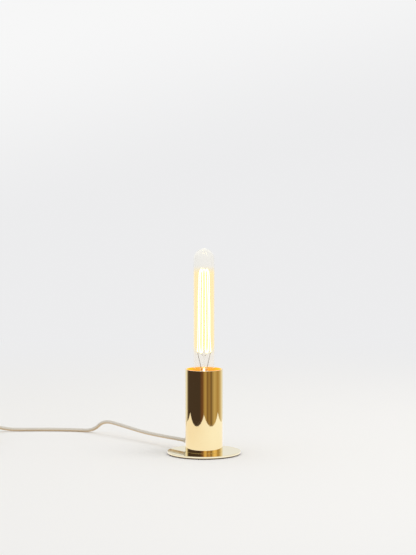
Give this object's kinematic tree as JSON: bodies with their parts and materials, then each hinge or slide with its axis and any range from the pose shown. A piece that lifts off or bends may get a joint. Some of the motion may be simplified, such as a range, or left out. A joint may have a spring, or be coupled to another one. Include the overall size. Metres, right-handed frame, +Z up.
{
  "type": "table lamp",
  "caption": "Bare bulb table lamp: an open polished brass tube on a thin brass disc, a long tubular filament bulb standing in it, and a pale textile cord with a hand switch and a plug.",
  "frame": {"origin": "centre of the felt pad's underside, on the axis of the tube and the bulb", "axes": "+Z up along the tube, +Y towards the side where the cord leaves the tube, +X to the right of one who looks along +Y"},
  "size_m": [0.3225, 0.423, 0.297],
  "materials": {
    "brass": "polished",
    "felt": "matte",
    "steel": "satin",
    "holder_plastic": "gloss",
    "porcelain": "gloss",
    "contact_brass": "satin",
    "cap_brass": "satin",
    "tip_metal": "satin",
    "cap_enamel": "gloss",
    "cement": "matte",
    "clear_glass": "gloss",
    "bulb_wire": "satin",
    "filament": "matte",
    "cord_braid": "matte",
    "live_sleeve": "matte",
    "neutral_sleeve": "matte",
    "pale_plastic": "satin",
    "pin_metal": "polished"
  },
  "bodies": {
    "lamp": {"base_disc": "brass", "body_tube": "brass", "felt_pad": "felt", "base_screws": "steel", "foot_plate": "steel", "holder_bracket": "steel", "bracket_screws": "steel", "threaded_stem": "steel", "stem_nut": "steel", "toothed_washer": "steel", "terminal_screws": "steel", "switch_screws": "steel", "bush_nut": "steel", "holder_cap": "holder_plastic", "holder_skirt": "holder_plastic", "holder_core": "porcelain", "threaded_sleeve": "contact_brass", "centre_contact": "contact_brass", "side_contact": "contact_brass", "switch_contacts": "contact_brass", "cord_inner": "cord_braid", "cord_lead": "cord_braid", "cord_mid": "cord_braid", "cord_coil": "cord_braid", "cord_tail": "cord_braid", "live_wire": "live_sleeve", "neutral_wire": "neutral_sleeve", "switch_wires": "neutral_sleeve", "cord_bush": "pale_plastic", "switch_base": "pale_plastic", "switch_cover": "pale_plastic", "plug_body": "pale_plastic", "plug_pins": "pin_metal"},
    "bulb_foot": {"tip_contact": "tip_metal", "cap_insulator": "cap_enamel"},
    "bulb": {"cap_shell": "cap_brass", "cap_cement": "cement", "glass_envelope": "clear_glass", "glass_stem": "clear_glass", "glass_rod": "clear_glass", "support_hooks": "bulb_wire", "lead_wires": "bulb_wire", "filament": "filament"},
    "rocker": {"switch_rocker": "pale_plastic", "switch_blade": "contact_brass"}
  },
  "joints": [
    {"name": "bulb_rise", "type": "slide", "parent": "lamp", "child": "bulb_foot", "axis": [0, 0, 1], "range_m": [0, 0.0109]},
    {"name": "bulb_turn", "type": "hinge", "parent": "bulb_foot", "child": "bulb", "pos_m": [0, 0, 0.085], "axis": [0, 0, 1], "range_deg": [0, 1080]},
    {"name": "rocker_tip", "type": "hinge", "parent": "lamp", "child": "rocker", "pos_m": [-0.167, 0.358, 0.0155], "axis": [0, 1, 0], "range_deg": [-18, 0]}
  ],
  "couplings": [
    {"joint": "bulb_rise", "follows": "bulb_turn", "m_per_rad": 0.00057751}
  ]
}
